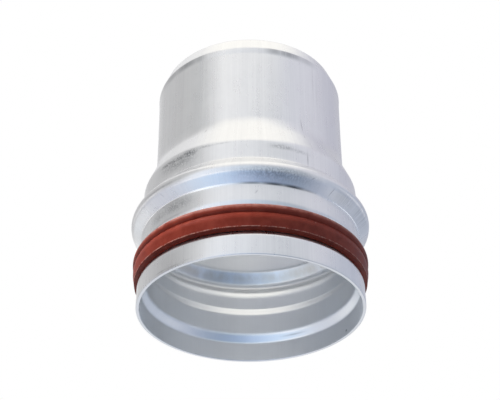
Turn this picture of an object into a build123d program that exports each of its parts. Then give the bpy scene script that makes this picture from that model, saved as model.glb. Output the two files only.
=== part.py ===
# Flue adapter: a rolled aluminium tube that steps from a sealed mouth to a narrower neck,
# with a silicone lip seal in the rolled groove. Millimetres, +Z from the mouth to the neck.
from build123d import *
from math import cos, radians, tan
import os

os.makedirs("parts", exist_ok=True)

# Neck, and the radial steps from it to the other bands, all on the outside of the sheet
neck_od = 60.0
lead_in_step = 1.7
flare_step = 3.6
bead_step = 3.45
groove_step = 1.2
mouth_step = 0.8
sheet = 1.0

# Heights from corner to corner, each counted from the end of the one before it
mouth_band = 6.7
groove_lower_flank = 2.2
groove_upper_flank = 2.5
spigot_band = 5.95
shoulder_band = 6.75
flare_height = 8.6
neck_length = 30.2
lead_in_height = 4.7

# Slopes of the bead's two flanks, from the axis
bead_lower_slope = 51.0
bead_upper_slope = 40.5

# Bends of the sheet, measured on the tight side of each bend
groove_bend = 1.2
bead_foot_bend = 1.0
bead_crest_bend = 1.6
shoulder_bend = 3.0
neck_bend = 14.0
lead_in_bend = 3.0
rim_break = 0.2

# Lip seal: how far its edges stand past the mouth band, and their heights from the lip upwards
lip_proud = 1.0
lip_root_proud = 0.85
lower_rib_proud = 1.45
valley_proud = 0.8
upper_rib_proud = 1.6
lip_edge = 0.25
lip_rise = 1.1
lower_rib_rise = 2.0
valley_rise = 1.4
upper_rib_height = 2.75
seal_corner = 0.9
seal_clearance = 0.1
heel_clearance = 0.25
heel_share = 0.5
lip_below_floor = 0.65
seal_above_floor = 0.25

neck_r = neck_od / 2
lead_in_r = neck_r - lead_in_step
barrel_r = neck_r + flare_step
groove_r = barrel_r - groove_step
mouth_r = barrel_r + mouth_step

# The bead's flanks meet in a point that the crest's bend rounds down to the bead's own height
crest_radius = bead_crest_bend + sheet
half_turn = radians(bead_lower_slope + bead_upper_slope) / 2
half_lean = radians(bead_lower_slope - bead_upper_slope) / 2
point_step = bead_step + crest_radius * (cos(half_lean) / cos(half_turn) - 1)
point_r = barrel_r + point_step

# The groove's floor is as high as the seal needs
seal_height = lip_edge + lip_rise + lower_rib_rise + valley_rise + upper_rib_height
groove_floor = seal_height - lip_below_floor - seal_above_floor

# Heights of the corners, from the mouth's rim upwards
groove_start = mouth_band
floor_start = groove_start + groove_lower_flank
floor_end = floor_start + groove_floor
spigot_start = floor_end + groove_upper_flank
bead_start = spigot_start + spigot_band
bead_point = bead_start + point_step / tan(radians(bead_lower_slope))
bead_end = bead_point + point_step / tan(radians(bead_upper_slope))
flare_start = bead_end + shoulder_band
neck_start = flare_start + flare_height
lead_in_start = neck_start + neck_length
top = lead_in_start + lead_in_height

# Body: the outside of the sheet from the mouth to the neck, thickened inwards and turned about the axis
groove_bends = [groove_bend + sheet, groove_bend, groove_bend, groove_bend + sheet]
bead_bends = [bead_foot_bend, crest_radius, bead_foot_bend]
neck_bends = [shoulder_bend + sheet, neck_bend, lead_in_bend + sheet]

with BuildPart() as adapter_body:
    with BuildSketch(Plane.XZ):
        with BuildLine():
            FilletPolyline(
                (mouth_r, 0),
                (mouth_r, groove_start),
                (groove_r, floor_start),
                (groove_r, floor_end),
                (barrel_r, spigot_start),
                (barrel_r, bead_start),
                (point_r, bead_point),
                (barrel_r, bead_end),
                (barrel_r, flare_start),
                (neck_r, neck_start),
                (neck_r, lead_in_start),
                (lead_in_r, top),
                radius=groove_bends + bead_bends + neck_bends,
            )
            offset(amount=sheet, side=Side.LEFT)
        make_face()
    revolve(axis=Axis.Z)
    rings = adapter_body.edges().filter_by(GeomType.CIRCLE)
    mouth_rim = rings.group_by(Axis.Z)[0]
    neck_rim = rings.sort_by(Axis.Z)[-2:]
    chamfer(mouth_rim + neck_rim, rim_break)

adapter_body.part.label = "adapter_body"
export_step(adapter_body.part, "parts/adapter_body.step")

# Lip seal: its seat follows the groove, and its lip and two round ribs stand out past the mouth band
seat_r = groove_r + seal_clearance
heel_r = groove_r + heel_share * (mouth_r - groove_r)
heel_z = floor_start - heel_share * groove_lower_flank + heel_clearance
lip_r = mouth_r + lip_proud
lip_root_r = mouth_r + lip_root_proud
lower_rib_r = mouth_r + lower_rib_proud
valley_r = mouth_r + valley_proud
upper_rib_r = mouth_r + upper_rib_proud
lip_z = floor_start - lip_below_floor
lip_top = lip_z + lip_edge
lip_root_z = lip_top + lip_rise
lower_rib_z = lip_root_z + lower_rib_rise
valley_z = lower_rib_z + valley_rise
upper_rib_z = valley_z + upper_rib_height / 2
seal_top = valley_z + upper_rib_height

with BuildPart() as lip_seal:
    with BuildSketch(Plane.XZ):
        with BuildLine():
            ThreePointArc((lip_root_r, lip_root_z), (lower_rib_r, lower_rib_z), (valley_r, valley_z))
            ThreePointArc((valley_r, valley_z), (upper_rib_r, upper_rib_z), (valley_r, seal_top))
            Polyline(
                (valley_r, seal_top),
                (seat_r + seal_corner, seal_top),
                (seat_r, floor_end - seal_corner),
                (seat_r, floor_start + seal_corner),
                (heel_r, heel_z),
                (lip_r, lip_z),
                (lip_r, lip_top),
                (lip_root_r, lip_root_z),
            )
        make_face()
    revolve(axis=Axis.Z)

lip_seal.part.label = "lip_seal"
export_step(lip_seal.part, "parts/lip_seal.step")
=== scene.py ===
from functools import reduce
from math import atan2, cos, pi, radians, sin, tan

import bmesh
import bpy
from mathutils import Matrix, Vector, noise


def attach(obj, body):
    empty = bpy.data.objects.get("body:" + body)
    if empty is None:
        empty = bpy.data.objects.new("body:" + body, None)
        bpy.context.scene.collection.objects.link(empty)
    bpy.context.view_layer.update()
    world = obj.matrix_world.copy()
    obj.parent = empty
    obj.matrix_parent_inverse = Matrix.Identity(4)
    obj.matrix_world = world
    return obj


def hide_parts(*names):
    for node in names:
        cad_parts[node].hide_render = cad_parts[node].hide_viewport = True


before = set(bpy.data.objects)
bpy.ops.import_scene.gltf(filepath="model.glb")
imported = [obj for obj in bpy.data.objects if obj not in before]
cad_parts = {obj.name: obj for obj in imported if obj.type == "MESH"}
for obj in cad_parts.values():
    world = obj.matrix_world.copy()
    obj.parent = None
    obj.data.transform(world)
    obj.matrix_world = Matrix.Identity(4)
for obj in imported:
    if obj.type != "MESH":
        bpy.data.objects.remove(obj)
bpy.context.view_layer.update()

mm = 0.001
scene = bpy.context.scene
scene.view_settings.view_transform = "Standard"
bounces = 24  # light finds its way out of the tube
scene.cycles.max_bounces = bounces
scene.cycles.glossy_bounces = bounces
print("frame loaded:", list(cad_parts))


class Wire:
    # a shader socket that takes part in Python expressions
    def __init__(self, tree, socket=None):
        self.tree = tree
        self.socket = socket

    def add(self, kind, settings, inputs, output=0):
        made = self.tree.nodes.new(kind)
        for name, value in settings.items():
            if name == "stops":
                self.setStops(made.color_ramp.elements, value)
            else:
                setattr(made, name, value)
        for name, value in inputs.items():
            if isinstance(value, Wire):
                self.tree.links.new(value.socket, made.inputs[name])
            else:
                made.inputs[name].default_value = value
        return Wire(self.tree, made.outputs[output] if made.outputs else None)

    def setStops(self, elements, stops):  # a ramp's places and colours, in rising order
        elements.remove(elements[1])
        elements[0].position = stops[0][0]
        elements[0].color = (*stops[0][1], 1)
        for place, colour in stops[1:]:
            elements.new(place).color = (*colour, 1)

    def also(self, output):  # another output of the same node
        return Wire(self.tree, self.socket.node.outputs[output])

    def math(self, operation, *values):
        return self.add("ShaderNodeMath", {"operation": operation}, dict(enumerate(values)))

    def smooth(self, low, high):  # 0 below low, 1 above high
        return self.add("ShaderNodeMapRange", {"interpolation_type": "SMOOTHSTEP"},
                        {"Value": self, "From Min": low, "From Max": high})

    def near(self, place, reach):  # 1 at the place, 0 beyond the reach
        return 1 - abs(self - place).smooth(0, reach)

    def most(self, other):
        return self.math("MAXIMUM", self, other)

    def mix(self, first, second):  # two colours, by this value
        colourA, colourB, colourOut = 6, 7, 2  # the Mix node's sockets for colours
        return self.add("ShaderNodeMix", {"data_type": "RGBA"},
                        {"Factor": self, colourA: first, colourB: second}, colourOut)

    def __add__(self, other):
        return self.math("ADD", self, other)

    __radd__ = __add__

    def __sub__(self, other):
        return self.math("SUBTRACT", self, other)

    def __rsub__(self, other):
        return self.math("SUBTRACT", other, self)

    def __mul__(self, other):
        return self.math("MULTIPLY", self, other)

    __rmul__ = __mul__

    def __truediv__(self, other):
        return self.math("DIVIDE", self, other)

    def __rtruediv__(self, other):
        return self.math("DIVIDE", other, self)

    def __abs__(self):
        return self.math("ABSOLUTE", self)


def newMaterial(name):
    material = bpy.data.materials.new(name)
    material.use_nodes = True
    material.node_tree.nodes.clear()
    return material, Wire(material.node_tree)


def roundTheAxis(w):
    # radius and height in millimetres, angle from the front, and the outward direction
    place = w.add("ShaderNodeTexCoord", {}, {}, "Object")
    x = w.add("ShaderNodeSeparateXYZ", {}, {"Vector": place}, "X")
    y, z = x.also("Y"), x.also("Z")
    radius = w.math("SQRT", x * x + y * y)
    across, along = x / radius, y / radius
    normal = w.add("ShaderNodeNewGeometry", {}, {}, "Normal")
    normalX = w.add("ShaderNodeSeparateXYZ", {}, {"Vector": normal}, "X")
    facing = normalX * across + normalX.also("Y") * along
    return {
        "radius": radius / mm,
        "height": z / mm,
        "angle": w.math("ARCTAN2", x, 0 - y),
        "across": across,
        "along": along,
        "outside": facing.smooth(-0.1, 0.1),  # 1 on the outer wall, 0 on the inner
    }


noiseMiddle = 0.5


def turnedNoise(w, place, roundScale, heightStretch, detail, roughness=0.55):
    # noise drawn out along the axis, without a seam
    spot = w.add("ShaderNodeCombineXYZ", {}, {
        "X": place["across"] * roundScale,
        "Y": place["along"] * roundScale,
        "Z": place["height"] / heightStretch,
    })
    return w.add("ShaderNodeTexNoise", {}, {
        "Vector": spot, "Scale": 1, "Detail": detail, "Roughness": roughness})


def asideFrom(place, angle):  # millimetres round the wall from an angle in degrees
    return (place["angle"] - radians(angle)) * place["radius"]


def markAt(place, angle, height, halfWidth, halfHeight, lean, depth):
    # a soft mark on the wall, in millimetres, that leans sideways for each millimetre up
    rise = place["height"] - height
    aside = asideFrom(place, angle) - rise * lean
    return aside.near(0, halfWidth) * rise.near(0, halfHeight) * depth


def allMarks(place, marks):
    return reduce(Wire.most, [markAt(place, *mark) for mark in marks])


# Meshes: the wire of a section is run and bent, then turned about the axis

def at(radius, height):
    return Vector((radius * mm, 0, height * mm))


def runTo(bm, tip, goal):
    grown = bmesh.ops.extrude_vert_indiv(bm, verts=[tip])["verts"][0]
    bmesh.ops.translate(bm, verts=[grown], vec=goal - grown.co)
    return grown


def bendRound(bm, tip, centre, goal, longestStep):
    # an arc about a centre, from the tip to the goal, the short way round
    before, after = tip.co - centre, goal - centre
    turn = atan2(before.cross(after).y, before.dot(after))
    steps = max(2, round(abs(turn) * before.length / (longestStep * mm)))
    made = bmesh.ops.spin(bm, geom=[tip], cent=centre, axis=(0, 1, 0), angle=turn, steps=steps)
    return [v for v in made["geom_last"] if isinstance(v, bmesh.types.BMVert)][0]


def bentLoop(bm, corners, longestStep):
    # a closed section; corners are (radius, height, bend) in millimetres
    points = [at(radius, height) for radius, height, bend in corners]
    bends = [bend * mm for radius, height, bend in corners]
    lasts, nexts = [points[-1], *points], [*points[1:], points[0]]
    start = tip = bm.verts.new((points[-1] + points[0]) / 2)
    for last, corner, following, bend in zip(lasts, points, nexts, bends):
        before = (corner - last).normalized()
        after = (following - corner).normalized()
        halfTurn = before.angle(after) / 2
        reach = bend * tan(halfTurn)
        centre = corner + (after - before).normalized() * (bend / cos(halfTurn))
        tip = runTo(bm, tip, corner - before * reach)
        tip = bendRound(bm, tip, centre, corner + after * reach, longestStep)
    bm.edges.new((tip, start))


def splitRuns(bm, longest):
    for edge in list(bm.edges):
        cuts = int(edge.calc_length() / (longest * mm))
        if cuts:
            bmesh.ops.subdivide_edges(bm, edges=[edge], cuts=cuts)


def turnWire(bm, turns):
    bmesh.ops.spin(bm, geom=bm.verts[:] + bm.edges[:], cent=(0, 0, 0), axis=(0, 0, 1),
                   angle=2 * pi, steps=turns, use_merge=True)
    bmesh.ops.remove_doubles(bm, verts=bm.verts[:], dist=1e-7)
    bmesh.ops.recalc_face_normals(bm, faces=bm.faces[:])


def newObject(bm, name, material):
    mesh = bpy.data.meshes.new(name)
    bm.to_mesh(mesh)
    bm.free()
    mesh.materials.append(material)
    made = bpy.data.objects.new(name, mesh)
    scene.collection.objects.link(made)
    return made


def finishPiece(bm, name, material, node, sharpAngle):
    for face in bm.faces:
        face.smooth = True
    for edge in bm.edges:
        edge.smooth = len(edge.link_faces) == 2 and edge.calc_face_angle() < radians(sharpAngle)
    piece = newObject(bm, name, material)
    weighted = piece.modifiers.new("weightedNormals", "WEIGHTED_NORMAL")
    weighted.keep_sharp = True
    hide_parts(node)
    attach(piece, "root")
    print("piece", name, len(piece.data.polygons), "faces")


# Rolled aluminium body, in millimetres and degrees
rolledBody = {
    "neckRadius": 30.0, "leadInStep": 1.7, "flareStep": 3.6, "beadStep": 3.448, "grooveStep": 1.2,
    "mouthStep": 0.8, "sheet": 1.0,
    "mouthBand": 6.7, "grooveLowerFlank": 2.2, "grooveFloor": 6.6, "grooveUpperFlank": 2.5,
    "spigotBand": 5.95, "beadLowerSlope": 51.0, "beadUpperSlope": 40.5, "shoulderBand": 6.75,
    "flareHeight": 8.6, "neckLength": 29.9, "leadInHeight": 4.96,
    "swellStart": 62.0, "swellEnd": 76.0, "swell": 0.12, "roll": 0.28,  # the neck widens under its lead-in
    "grooveBend": 1.2, "beadFootBend": 0.8, "beadCrestBend": 1.6, "shoulderBend": 3.0, "neckBend": 14.0,
    "leadInBend": 3.0, "swellFootBend": 300.0, "swellBend": 5.0, "rollBend": 1.5,
    "footInsideRise": 0.5, "footInsideBend": 5.5, "crestInsideBend": 2.2,  # softer than on the outside
    "rimBreak": 0.2, "turns": 240, "longestStep": 0.3, "longestRun": 1.6, "sharpAngle": 50,
}


def rolledCorners(s):
    # where the runs of the sheet's outside meet, from the mouth to the neck
    neck = s["neckRadius"]
    barrel = neck + s["flareStep"]
    groove = barrel - s["grooveStep"]
    mouth = barrel + s["mouthStep"]
    lower, upper = radians(s["beadLowerSlope"]), radians(s["beadUpperSlope"])
    crest = s["beadCrestBend"] + s["sheet"]
    point = s["beadStep"] + crest * (cos((lower - upper) / 2) / cos((lower + upper) / 2) - 1)
    runs = [
        (mouth, 0), (mouth, s["mouthBand"]),
        (groove, s["grooveLowerFlank"]), (groove, s["grooveFloor"]),
        (barrel, s["grooveUpperFlank"]), (barrel, s["spigotBand"]),
        (barrel + point, point / tan(lower)), (barrel, point / tan(upper)),
        (barrel, s["shoulderBand"]), (neck, s["flareHeight"]),
        (neck, s["neckLength"]), (neck - s["leadInStep"], s["leadInHeight"]),
    ]
    height = 0
    corners = []
    for radius, rise in runs:
        height += rise
        corners.append(Vector((radius, height)))
    return corners


def insetCorners(corners, depth):
    # the same corners on the other side of the sheet
    inset = []
    for i, corner in enumerate(corners):
        before = (corner - corners[i - 1] if i else corners[1] - corner).normalized()
        after = (corners[i + 1] - corner).normalized() if i + 1 < len(corners) else before
        aside = Vector((-before.y - after.y, before.x + after.x))
        inset.append(corner + aside * depth / (1 + before.dot(after)))
    return inset


def rolledSection(s):
    # up the outside and down the inside, each corner with its own bend
    sheet, rim, neck = s["sheet"], s["rimBreak"], s["neckRadius"]
    tight, foot, crest = s["grooveBend"], s["beadFootBend"], s["beadCrestBend"]
    beadFoot, leadIn = 5, 10  # counted along the corners
    outside = rolledCorners(s)
    inside = insetCorners(outside, sheet)
    inside[beadFoot].y += s["footInsideRise"]
    outsideBends = [
        rim, tight + sheet, tight, tight, tight + sheet, foot, crest + sheet, foot,
        s["shoulderBend"] + sheet, s["neckBend"], s["rollBend"], rim,
    ]
    insideBends = [
        rim, tight, tight + sheet, tight + sheet, tight, s["footInsideBend"], s["crestInsideBend"],
        foot + sheet, s["shoulderBend"], s["neckBend"] + sheet, s["leadInBend"], rim,
    ]
    up = [(corner.x, corner.y, bend) for corner, bend in zip(outside, outsideBends)]
    down = [(corner.x, corner.y, bend) for corner, bend in zip(inside, insideBends)]
    up[leadIn:leadIn + 1] = [
        (neck, s["swellStart"], s["swellFootBend"]),
        (neck + s["swell"], s["swellEnd"], s["swellBend"]),
        (neck + s["roll"], up[leadIn][1], s["rollBend"]),
    ]
    return up + down[::-1]


def makeBody(material):
    s = rolledBody
    bm = bmesh.new()
    bentLoop(bm, rolledSection(s), s["longestStep"])
    splitRuns(bm, s["longestRun"])
    turnWire(bm, s["turns"])
    finishPiece(bm, "rolledBody", material, "adapter_body", s["sharpAngle"])


# Silicone lip seal, in millimetres
lipSeal = {
    "grooveRadius": 32.4, "mouthRadius": 34.4, "floorStart": 8.9, "floorEnd": 15.5, "grooveFlank": 2.2,
    "clearance": 0.1, "corner": 0.9, "heelShare": 0.5, "heelClearance": 0.25, "lipBelowFloor": 0.65,
    "lipProud": 0.92, "lipRootProud": 1.28, "lowerRibProud": 1.288, "valleyProud": 0.95,
    "upperRibProud": 1.52, "lipEdge": 0.25, "lipRise": 2.1, "lowerRibRise": 1.3, "valleyRise": 1.1,
    "upperRibHeight": 2.75, "edgeRound": 0.08, "flash": 0.12, "flashSpread": 0.35, "flashGrain": 90,
    "turns": 400, "longestStep": 0.2, "longestRun": 0.8, "sharpAngle": 50,
}


def arcCentre(first, second, third):
    # where the perpendicular bisectors of two chords meet
    a, b = second - first, third - second
    across = (third - first).dot(b) / (2 * a.cross(b).y)
    return first + a / 2 - a.cross(Vector((0, 1, 0))) * across


def ribArc(bm, tip, through, goal, longestStep):
    centre = arcCentre(tip.co.copy(), through, goal)
    return bendRound(bm, tip, centre, goal, longestStep)


def unevenFlash(bm, s, lip, lipTop):
    # the thin flash along the lip's edge grows and shrinks a little
    for vert in bm.verts:
        nearLip = 1 - min(1, abs(vert.co.z / mm - lipTop) / s["flashSpread"])
        radius = vert.co.xy.length
        if nearLip > 0 and radius > (lip - s["flashSpread"]) * mm:
            grow = noise.noise(vert.co.normalized() * s["flashGrain"]) * nearLip * s["flash"] * mm
            vert.co.xy *= 1 + grow / radius


def makeSeal(material):
    s = lipSeal
    mouth = s["mouthRadius"]
    seat = s["grooveRadius"] + s["clearance"]
    heel = s["grooveRadius"] + s["heelShare"] * (mouth - s["grooveRadius"])
    lip, valley = mouth + s["lipProud"], mouth + s["valleyProud"]
    heelHeight = s["floorStart"] - s["heelShare"] * s["grooveFlank"] + s["heelClearance"]
    lipHeight = s["floorStart"] - s["lipBelowFloor"]
    lipTop = lipHeight + s["lipEdge"]
    rootHeight = lipTop + s["lipRise"]
    ribHeight = rootHeight + s["lowerRibRise"]
    valleyHeight = ribHeight + s["valleyRise"]
    top = valleyHeight + s["upperRibHeight"]
    lowerRib = at(mouth + s["lowerRibProud"], ribHeight)
    upperRib = at(mouth + s["upperRibProud"], valleyHeight + s["upperRibHeight"] / 2)

    bm = bmesh.new()
    start = bm.verts.new(at(seat, s["floorStart"] + s["corner"]))
    heelEdge = runTo(bm, start, at(heel, heelHeight))
    lipFoot = runTo(bm, heelEdge, at(lip, lipHeight))
    lipEdge = runTo(bm, lipFoot, at(lip, lipTop))
    tip = runTo(bm, lipEdge, at(mouth + s["lipRootProud"], rootHeight))
    tip = ribArc(bm, tip, lowerRib, at(valley, valleyHeight), s["longestStep"])
    topEdge = ribArc(bm, tip, upperRib, at(valley, top), s["longestStep"])
    tip = runTo(bm, topEdge, at(seat + s["corner"], top))
    tip = runTo(bm, tip, at(seat, s["floorEnd"] - s["corner"]))
    bm.edges.new((tip, start))
    bmesh.ops.bevel(bm, geom=[heelEdge, lipFoot, lipEdge, topEdge], offset=s["edgeRound"] * mm,
                    offset_type="OFFSET", affect="VERTICES", segments=2, profile=0.5, material=-1)
    splitRuns(bm, s["longestRun"])
    turnWire(bm, s["turns"])
    unevenFlash(bm, s, lip, lipTop)
    finishPiece(bm, "lipSeal", material, "lip_seal", s["sharpAngle"])


# Drawn aluminium: soft lines along the axis, cloudy handling marks, scratches, an inside painted paler so
# that it renders lighter, painted highlight and shade at the bead's foot, and a painted dark streak under
# the lead-in
aluminium = {
    # the dark colour on the next line is for stains and scratches, and also paints a dark reflection
    # streak under the lead-in
    "pale": (0.825, 0.825, 0.83, 1), "dull": (0.765, 0.765, 0.775, 1), "soilAndShade": (0.20, 0.205, 0.215, 1),
    # the inside colours on the next line are paler than the outside's, which paints light into the deep
    # interior
    "insidePale": (0.875, 0.885, 0.895, 1), "insideDull": (0.852, 0.862, 0.872, 1),
    # on the next line, the near-black colour is painted shade in the crease at the bead's foot, and the
    # near-white one a painted highlight along that foot
    "paintedCreaseShade": (0.05, 0.055, 0.065, 1), "footHighlight": (0.97, 0.97, 0.97, 1),
    "cutEdge": (0.66, 0.665, 0.69, 1), "mouthCut": (0.1, 0.3), "neckCut": (82.72, 82.95),
    "film": (0.70, 0.66, 0.60, 1), "filmHeight": 30.8, "filmReach": 2.8,  # a thin film of oil in the bead
    # noises: scale round the axis, stretch along it, detail
    "fineLines": (60, 40, 2), "broadLines": (11, 70, 2), "clouds": (7, 6, 4), "mottle": (75, 0.5, 2),
    "fineShare": 0.4, "broadShare": 0.35, "cloudShare": 0.25, "shadeRange": (0.34, 0.66),
    # where a noise starts to let a mark show, and where it shows in full
    "filmClouds": (0.2, 0.6), "stainMottle": (0.24, 0.64), "stainClouds": (0.1, 0.4),
    "brushedLines": (0.3, 0.65), "streakShadeLines": (0.1, 0.5),
    "roughness": 0.29, "lineRoughness": 0.08, "cloudRoughness": 0.1, "wearAndShadeRoughness": 0.12,
    "footHighlightGloss": 0.12, "insideRoughness": 0.06,
    "lineRelief": 0.4, "bumpStrength": 0.08, "bumpDistance": 0.0002,
    "scratches": [  # angle, height, half width, half height, lean, depth
        (30.7, 35.5, 0.35, 3.8, 0.0, 0.45),
        (32.0, 50.5, 0.35, 3.4, -0.12, 0.4),
        (32.3, 45.6, 0.4, 1.1, 0.0, 0.28),
        (30.0, 26.5, 0.5, 0.7, 1.2, 0.5),
        (42.3, 25.4, 0.3, 1.5, 0.35, 0.5),
        (3.2, 21.0, 0.4, 0.9, 0.6, 0.35),
        (-25.5, 47.2, 0.45, 0.9, 0.5, 0.35),
        (-46.0, 25.8, 0.4, 0.8, -0.6, 0.25),
        (42.0, 69.0, 0.4, 9.0, 0.0, 0.12),
        (45.0, 66.0, 0.5, 11.0, 0.0, 0.1),
        (26.0, 83.0, 11.0, 0.3, 0.0, 0.25),
        (-36.0, 83.0, 9.0, 0.3, 0.0, 0.12),
        (-47.5, 0.9, 3.0, 0.35, 0.0, 0.35),
        (-39.2, 0.8, 3.5, 0.35, 0.0, 0.3),
        (-31.5, 1.2, 2.5, 0.35, 0.0, 0.15),
    ],
    "footHighlightMarks": [  # a painted highlight along the bead's foot
        (-66.0, 23.85, 12.0, 0.5, 0.0, 1.0),
        (-45.0, 23.85, 12.0, 0.5, 0.0, 1.0),
        (-24.0, 23.85, 10.5, 0.5, 0.0, 1.0),
        (58.0, 23.85, 12.0, 0.5, 0.0, 0.9),
        (74.0, 23.85, 9.0, 0.5, 0.0, 0.9),
    ],
    "shadedCreases": [  # painted shade in the crease where the bead meets the spigot
        (1.0, 23.9, 6.0, 0.5, 0.0, 0.65),
        (12.0, 23.9, 6.5, 0.6, 0.0, 0.9),
        (21.5, 23.9, 6.5, 0.62, 0.0, 0.95),
        (29.0, 23.9, 4.5, 0.5, 0.0, 0.4),
    ],
    "stains": [
        (-39.0, 38.0, 6.5, 1.5, 0.0, 1.0),
        (-32.5, 38.2, 4.8, 2.2, 0.0, 1.0),
        (-47.0, 38.1, 5.5, 1.2, 0.0, 0.95),
        (-40.0, 36.6, 11.0, 3.4, 0.0, 0.62),
        (17.0, 37.6, 6.0, 1.3, 0.0, 0.6),
        (26.0, 37.3, 5.0, 1.1, 0.0, 0.35),
        (-40.0, 21.4, 9.0, 3.0, 0.0, 0.6),
        (-53.0, 21.0, 6.5, 2.8, 0.0, 0.45),
        (12.0, 26.2, 18.0, 2.2, 0.0, 0.62),
        (-23.0, 38.9, 4.5, 0.6, 0.0, 0.45),
        (-14.0, 38.9, 4.0, 0.5, 0.0, 0.3),
    ],
    "brushed": [(52.0, 25.6, 9.0, 2.6, 0.0, 0.3), (70.0, 26.0, 11.0, 3.4, 0.0, 0.4)],
    "insideSpots": [(117.5, 1.6, 0.7, 0.6, 0.0, 0.8), (155.0, 7.4, 6.0, 0.4, 0.0, 0.4)],
    "paintedLeadInStreaks": [  # a painted dark reflection streak under the lead-in: angle, half width, depth
        (-55.0, 9.0, 0.32), (-41.0, 8.0, 0.55), (-31.5, 3.6, 0.4),
        (16.0, 5.0, 0.5), (25.0, 8.0, 0.6), (37.0, 6.0, 0.3),
    ],
    # heights where the painted dark streak fades in and where it ends
    "shadeStreakStart": (75.4, 77.3), "shadeStreakEnd": (78.0, 78.4),
}


def paintedStreakRing(place, s):
    # a painted dark reflection streak, soft towards the neck, sharp against the lead-in
    paintedLeadInStreaks = [asideFrom(place, angle).near(0, halfWidth) * depth for angle, halfWidth, depth in s["paintedLeadInStreaks"]]
    height = place["height"]
    return reduce(Wire.most, paintedLeadInStreaks) * height.smooth(*s["shadeStreakStart"]) * (1 - height.smooth(*s["shadeStreakEnd"]))


def drawnAluminium():
    s = aluminium
    material, w = newMaterial("drawnAluminium")
    place = roundTheAxis(w)
    height, outside = place["height"], place["outside"]
    inside = 1 - outside
    fineLines = turnedNoise(w, place, *s["fineLines"])
    broadLines = turnedNoise(w, place, *s["broadLines"])
    clouds = turnedNoise(w, place, *s["clouds"])
    mottle = turnedNoise(w, place, *s["mottle"])

    shade = fineLines * s["fineShare"] + broadLines * s["broadShare"] + clouds * s["cloudShare"]
    shade = shade.smooth(*s["shadeRange"])
    # the inside is painted paler than the outside, which lightens the deep interior
    outer, inner = shade.mix(s["dull"], s["pale"]), shade.mix(s["insideDull"], s["insidePale"])
    filmed = height.near(s["filmHeight"], s["filmReach"]) * clouds.smooth(*s["filmClouds"])
    clean = outside.mix(filmed.mix(inner, s["film"]), outer)

    stains = allMarks(place, s["stains"]) * mottle.smooth(*s["stainMottle"])
    stains = stains * clouds.smooth(*s["stainClouds"])
    streaks = allMarks(place, s["brushed"]) * fineLines.smooth(*s["brushedLines"])
    # painted dark reflection streak under the lead-in, mixed in below with the real wear and stains
    streakShade = paintedStreakRing(place, s) * fineLines.smooth(*s["streakShadeLines"])
    wearAndShade = allMarks(place, s["scratches"]).most(stains).most(streaks).most(streakShade) * outside
    wearAndShade = wearAndShade.most(allMarks(place, s["insideSpots"]) * inside)
    # a painted highlight along the bead's foot, made a little glossier there too
    bright = allMarks(place, s["footHighlightMarks"]) * outside
    # painted shade in the crease at the bead's foot
    creaseShading = allMarks(place, s["shadedCreases"]) * outside
    cut = (1 - height.smooth(*s["mouthCut"])).most(height.smooth(*s["neckCut"]))
    colour = bright.mix(wearAndShade.mix(clean, s["soilAndShade"]), s["footHighlight"])
    colour = cut.mix(creaseShading.mix(colour, s["paintedCreaseShade"]), s["cutEdge"])

    roughness = s["roughness"] + s["lineRoughness"] * (fineLines - noiseMiddle)
    roughness = roughness + s["cloudRoughness"] * (clouds - noiseMiddle)
    roughness = roughness + s["wearAndShadeRoughness"] * wearAndShade - s["footHighlightGloss"] * bright
    roughness = roughness + s["insideRoughness"] * inside
    relief = fineLines * s["lineRelief"] * outside - stains
    bump = w.add("ShaderNodeBump", {}, {
        "Strength": s["bumpStrength"], "Distance": s["bumpDistance"], "Height": relief})
    metal = w.add("ShaderNodeBsdfPrincipled", {}, {
        "Base Color": colour, "Metallic": 1.0, "Roughness": roughness, "Normal": bump})
    w.add("ShaderNodeOutputMaterial", {}, {"Surface": metal})
    return material


# Moulded silicone: a slight bloom, dust with a painted sheen along the top, and a pale flash line on the
# lip's edge with a painted highlight
silicone = {
    # the pale third colour is for bloom, nicks and flash, and also paints a sheen on the top and a
    # highlight on the lip's edge
    "red": (0.325, 0.033, 0.0125, 1), "dark": (0.25, 0.024, 0.009, 1), "bloomAndSheen": (0.60, 0.31, 0.26, 1),
    # noises: scale round the axis, stretch along it, detail, roughness
    "clouds": (14, 3, 4), "grain": (160, 0.25, 2), "flecks": (45, 1.0, 3, 0.7), "redRange": (0.3, 0.7),
    # the flash line's pale colour is partly a painted highlight on the lip's edge; the pale dust on the
    # top is partly a painted sheen
    "lipHeight": 8.45, "flashHighlightReach": 0.26, "flashHighlightFlecks": (0.36, 0.62),
    "dustAndSheen": 0.62, "dustAndSheenRange": (13.7, 15.4), "dustAndSheenClouds": (0.2, 0.6),
    "haze": 0.06, "hazeClouds": (0.1, 0.9),
    "roughness": 0.45, "cloudRoughness": 0.2, "specular": 0.17,
    "bumpStrength": 0.2, "bumpDistance": 0.0001,
    "nicks": [  # angle, height, half width, half height, lean, depth
        (-27.8, 8.5, 0.9, 0.24, 0.0, 0.9),
        (6.8, 8.5, 0.7, 0.22, 0.0, 0.9),
        (-6.0, 15.4, 0.6, 0.4, 0.0, 0.6),
        (42.8, 14.9, 0.5, 0.35, 0.0, 0.8),
        (31.3, 12.4, 0.5, 0.3, 0.0, 0.7),
    ],
    "nickGrain": (0.35, 0.5),
}


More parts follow.
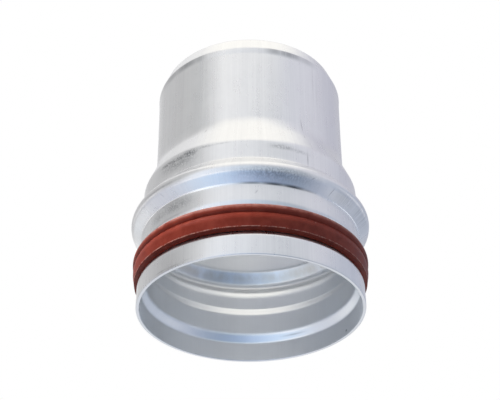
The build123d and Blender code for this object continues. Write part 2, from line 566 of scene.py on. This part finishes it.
def redSilicone():
    s = silicone
    material, w = newMaterial("redSilicone")
    place = roundTheAxis(w)
    height = place["height"]
    clouds = turnedNoise(w, place, *s["clouds"])
    grain = turnedNoise(w, place, *s["grain"])
    flecks = turnedNoise(w, place, *s["flecks"])
    clean = clouds.smooth(*s["redRange"]).mix(s["dark"], s["red"])
    # pale flash on the lip's edge, partly a painted highlight
    flash = height.near(s["lipHeight"], s["flashHighlightReach"]) * flecks.smooth(*s["flashHighlightFlecks"])
    # pale dust over the top, partly a painted sheen
    dustAndSheen = height.smooth(*s["dustAndSheenRange"]) * clouds.smooth(*s["dustAndSheenClouds"]) * s["dustAndSheen"]
    haze = clouds.smooth(*s["hazeClouds"]) * s["haze"]
    nicks = allMarks(place, s["nicks"]) * grain.smooth(*s["nickGrain"])
    pale = flash.most(dustAndSheen).most(haze).most(nicks)
    bump = w.add("ShaderNodeBump", {}, {
        "Strength": s["bumpStrength"], "Distance": s["bumpDistance"], "Height": grain + pale})
    rubber = w.add("ShaderNodeBsdfPrincipled", {}, {
        "Base Color": pale.mix(clean, s["bloomAndSheen"]), "Normal": bump, "Specular IOR Level": s["specular"],
        "Roughness": s["roughness"] + s["cloudRoughness"] * (clouds - noiseMiddle)})
    w.add("ShaderNodeOutputMaterial", {}, {"Surface": rubber})
    return material


makeBody(drawnAluminium())
makeSeal(redSilicone())


# Studio: world, floor, cards and one lamp
studio = {
    "white": (1, 1, 1, 1), "ambientHigh": (0.42, 0.42, 0.44, 1), "ambientLow": (0.08, 0.08, 0.09, 1),
    "ambientRise": (-0.5, 0.3), "floorColour": (0.86, 0.86, 0.86, 1), "floorReach": 2.0,
    "floorFade": (0.4, 1.8), "floorDrop": 0.05, "floorSides": 96,
}


def lightPath(w, name):
    return w.add("ShaderNodeLightPath", {}, {}, name)


def showWhere(w, cover, shader):
    # the shader where the cover is 1, clear where it is 0
    clear = w.add("ShaderNodeBsdfTransparent", {}, {})
    mixed = w.add("ShaderNodeMixShader", {}, {0: cover, 1: clear, 2: shader})
    w.add("ShaderNodeOutputMaterial", {}, {"Surface": mixed})


def makeWorld():
    # white for the camera and for reflections, a soft grey for everything else
    world = bpy.data.worlds.new("studioWorld")
    world.use_nodes = True
    world.node_tree.nodes.clear()
    w = Wire(world.node_tree)
    seen = lightPath(w, "Is Camera Ray") + lightPath(w, "Is Glossy Ray")
    seen = seen + lightPath(w, "Is Transmission Ray")
    heading = w.add("ShaderNodeTexCoord", {}, {}, "Generated")
    rise = w.add("ShaderNodeSeparateXYZ", {}, {"Vector": heading}, "Z")
    ambient = rise.smooth(*studio["ambientRise"]).mix(studio["ambientLow"], studio["ambientHigh"])
    white = w.add("ShaderNodeBackground", {}, {"Color": studio["white"], "Strength": 1.0})
    soft = w.add("ShaderNodeBackground", {}, {"Color": ambient, "Strength": 1.0})
    mixed = w.add("ShaderNodeMixShader", {}, {0: seen.math("MINIMUM", seen, 1), 1: soft, 2: white})
    w.add("ShaderNodeOutputWorld", {}, {"Surface": mixed})
    scene.world = world


def makeFloor():
    # drawn only for a camera above it, so that the low front camera sees the mouth
    material, w = newMaterial("paleFloor")
    spot = w.add("ShaderNodeTexCoord", {}, {}, "Object")
    reach = w.add("ShaderNodeVectorMath", {"operation": "LENGTH"}, {0: spot}, "Value")
    above = 1 - w.add("ShaderNodeNewGeometry", {}, {}, "Backfacing")
    shown = lightPath(w, "Is Camera Ray") * above * (1 - reach.smooth(*studio["floorFade"]))
    showWhere(w, shown, w.add("ShaderNodeBsdfDiffuse", {}, {"Color": studio["floorColour"]}))
    bm = bmesh.new()
    bmesh.ops.create_circle(bm, cap_ends=True, segments=studio["floorSides"], radius=studio["floorReach"])
    bmesh.ops.translate(bm, verts=bm.verts[:], vec=(0, 0, -studio["floorDrop"] * mm))
    floor = newObject(bm, "floor", material)
    floor.visible_shadow = False


# Cards that only reflections see: angles in degrees, feather sideways and upright as shares of the card,
# radiance as one colour or as stops across the card
cards = {
    "topBox": {
        "azimuth": -8, "elevation": 78, "distance": 1.0, "halfWidth": 27, "halfHeight": 40,
        "feather": (0.2, 0.3), "radiance": [(0.0, (1.22, 1.20, 1.14))],
    },
    "frontGrey": {
        "azimuth": 15, "elevation": 27, "distance": 1.1, "halfWidth": 52, "halfHeight": 16,
        "feather": (0.12, 0.25), "radiance": [
            (0.1, (0.94, 0.95, 0.97)), (0.395, (0.82, 0.84, 0.88)), (0.605, (0.62, 0.65, 0.70)),
            (0.88, (0.68, 0.70, 0.75)),
        ],
    },
    "backGrey": {
        "azimuth": 168, "elevation": 42, "distance": 1.1, "halfWidth": 30, "halfHeight": 17,
        "feather": (0.3, 0.3), "radiance": [(0.0, (0.58, 0.58, 0.63))],
    },
    "backLow": {
        "azimuth": 180, "elevation": -32, "distance": 1.0, "halfWidth": 55, "halfHeight": 30,
        "feather": (0.2, 0.25), "radiance": [(0.0, (0.94, 0.98, 1.02))],
    },
    "leftUnder": {
        "azimuth": -88, "elevation": -30, "distance": 1.0, "halfWidth": 34, "halfHeight": 28,
        "feather": (0.35, 0.3), "radiance": [(0.0, (0.64, 0.66, 0.74))],
    },
    "leftFlag": {
        "azimuth": -95, "elevation": 20, "distance": 1.2, "halfWidth": 56, "halfHeight": 42,
        "feather": (0.06, 0.12), "radiance": [
            (0.0, (0.72, 0.72, 0.72)), (0.34, (0.615, 0.615, 0.62)), (0.53, (0.60, 0.60, 0.60)),
            (0.70, (0.60, 0.61, 0.61)), (0.78, (0.80, 0.80, 0.80)), (0.9, (0.97, 0.97, 0.97)),
        ],
    },
    "leftLow": {
        "azimuth": -86, "elevation": 18, "distance": 1.0, "halfWidth": 24, "halfHeight": 13,
        "feather": (0.3, 0.35), "radiance": [(0.0, (0.30, 0.30, 0.31))],
    },
    "rightCard": {
        "azimuth": 103, "elevation": 20, "distance": 1.2, "halfWidth": 64, "halfHeight": 48,
        "feather": (0.10, 0.14), "radiance": [
            (0.0, (0.95, 0.95, 0.97)), (0.28, (0.80, 0.81, 0.88)), (0.44, (0.72, 0.72, 0.79)),
            (0.58, (0.565, 0.565, 0.65)), (0.8, (0.55, 0.56, 0.61)),
        ],
    },
    "rightLow": {
        "azimuth": 106, "elevation": -4, "distance": 1.0, "halfWidth": 48, "halfHeight": 46,
        "feather": (0.2, 0.3), "radiance": [(0.0, (0.48, 0.53, 0.64))],
    },
    "leftGlow": {
        "azimuth": -106, "elevation": 2, "distance": 0.9, "halfWidth": 28, "halfHeight": 6,
        "feather": (0.3, 0.3), "radiance": [(0.0, (1.15, 1.15, 1.17))],
    },
    "rightGlow": {
        "azimuth": 106, "elevation": 2, "distance": 0.9, "halfWidth": 28, "halfHeight": 6,
        "feather": (0.3, 0.3), "radiance": [(0.0, (1.1, 1.1, 1.15))],
    },
    "leftSpark": {
        "azimuth": -44, "elevation": -35, "distance": 0.75, "halfWidth": 34, "halfHeight": 8,
        "feather": (0.35, 0.35), "radiance": [(0.0, (1.32, 1.33, 1.36))],
    },
    "lowFront": {
        "azimuth": 0, "elevation": -10, "distance": 1.0, "halfWidth": 62, "halfHeight": 48,
        "feather": (0.1, 0.19), "radiance": [
            (0.0, (1.08, 1.10, 1.14)), (0.09, (1.14, 1.18, 1.24)), (0.346, (0.93, 1.00, 1.11)),
            (0.5, (0.68, 0.78, 0.91)), (0.654, (0.45, 0.52, 0.60)), (0.91, (0.43, 0.46, 0.53)),
        ],
    },
    "lowSheet": {
        "azimuth": 0, "elevation": -68, "distance": 0.8, "halfWidth": 58, "halfHeight": 36,
        "feather": (0.08, 0.2), "radiance": [
            (0.10, (0.78, 0.80, 0.86)), (0.28, (0.75, 0.87, 1.03)), (0.39, (0.70, 0.90, 1.17)),
            (0.50, (0.44, 0.57, 0.82)), (0.60, (0.20, 0.28, 0.42)), (0.71, (0.30, 0.37, 0.48)),
            (0.87, (0.50, 0.54, 0.67)),
        ],
    },
}
cardHalf = 0.5  # a card is 1 wide and 1 high in its own coordinates
lookAt = Vector((0, 0, 0.0404))  # cards, lamp and camera face this point


def direction(azimuth, elevation):
    a, e = radians(azimuth), radians(elevation)
    return Vector((sin(a) * cos(e), -cos(a) * cos(e), sin(e)))


def cardColour(w, x, stops):
    if len(stops) == 1:
        return (*stops[0][1], 1)
    return w.add("ShaderNodeValToRGB", {"stops": stops}, {0: x + cardHalf})


def cardGlow(name, card):
    material, w = newMaterial(name)
    spot = w.add("ShaderNodeTexCoord", {}, {}, "Object")
    x = w.add("ShaderNodeSeparateXYZ", {}, {"Vector": spot}, "X")
    y = x.also("Y")
    sideways, upright = card["feather"]
    cover = (cardHalf - abs(x)).smooth(0, sideways) * (cardHalf - abs(y)).smooth(0, upright)
    colour = cardColour(w, x, card["radiance"])
    showWhere(w, cover, w.add("ShaderNodeEmission", {}, {"Color": colour, "Strength": 1.0}))
    return material


def makeCards():
    for name, card in cards.items():
        toward = direction(card["azimuth"], card["elevation"])
        sideways = Vector((0, 0, 1)).cross(toward).normalized()
        upright = toward.cross(sideways)
        width = 2 * card["distance"] * tan(radians(card["halfWidth"]))
        height = 2 * card["distance"] * tan(radians(card["halfHeight"]))
        bm = bmesh.new()
        bmesh.ops.create_grid(bm, x_segments=1, y_segments=1, size=cardHalf)
        holder = newObject(bm, name, cardGlow(name, card))
        turn = Matrix((sideways * width, upright * height, toward)).transposed().to_4x4()
        holder.matrix_world = Matrix.Translation(lookAt + toward * card["distance"]) @ turn
        holder.visible_camera = False
        holder.visible_diffuse = False
        holder.visible_shadow = False


keyLamp = {"place": (-0.52, -0.32, 0.74), "size": 0.5, "watts": 10.0, "colour": (1.0, 0.985, 0.95)}


def makeLamp():
    lamp = bpy.data.lights.new("keyLamp", "AREA")
    lamp.shape = "DISK"
    lamp.size = keyLamp["size"]
    lamp.energy = keyLamp["watts"]
    lamp.color = keyLamp["colour"]
    holder = bpy.data.objects.new("keyLamp", lamp)
    holder.location = keyLamp["place"]
    holder.rotation_euler = (lookAt - holder.location).to_track_quat("-Z", "Y").to_euler()
    holder.visible_glossy = False
    scene.collection.objects.link(holder)


makeWorld()
makeFloor()
makeCards()
makeLamp()
print("studio ready,", len(cards), "cards")

# Camera: fitted to the photograph's frame
view = {
    "lens": 79.2, "sensor": 36, "clipStart": 0.01, "elevation": -33.576, "distance": 0.3512, "roll": 0.5,
}


def makeCamera():
    camera = bpy.data.cameras.new("camera")
    camera.lens = view["lens"]
    camera.sensor_width = view["sensor"]
    camera.clip_start = view["clipStart"]
    holder = bpy.data.objects.new("camera", camera)
    toward = direction(0, view["elevation"])
    aim = (-toward).to_track_quat("-Z", "Y").to_matrix().to_4x4()
    lean = Matrix.Rotation(radians(-view["roll"]), 4, "Z")
    holder.matrix_world = Matrix.Translation(lookAt + toward * view["distance"]) @ aim @ lean
    scene.collection.objects.link(holder)
    scene.camera = holder


makeCamera()
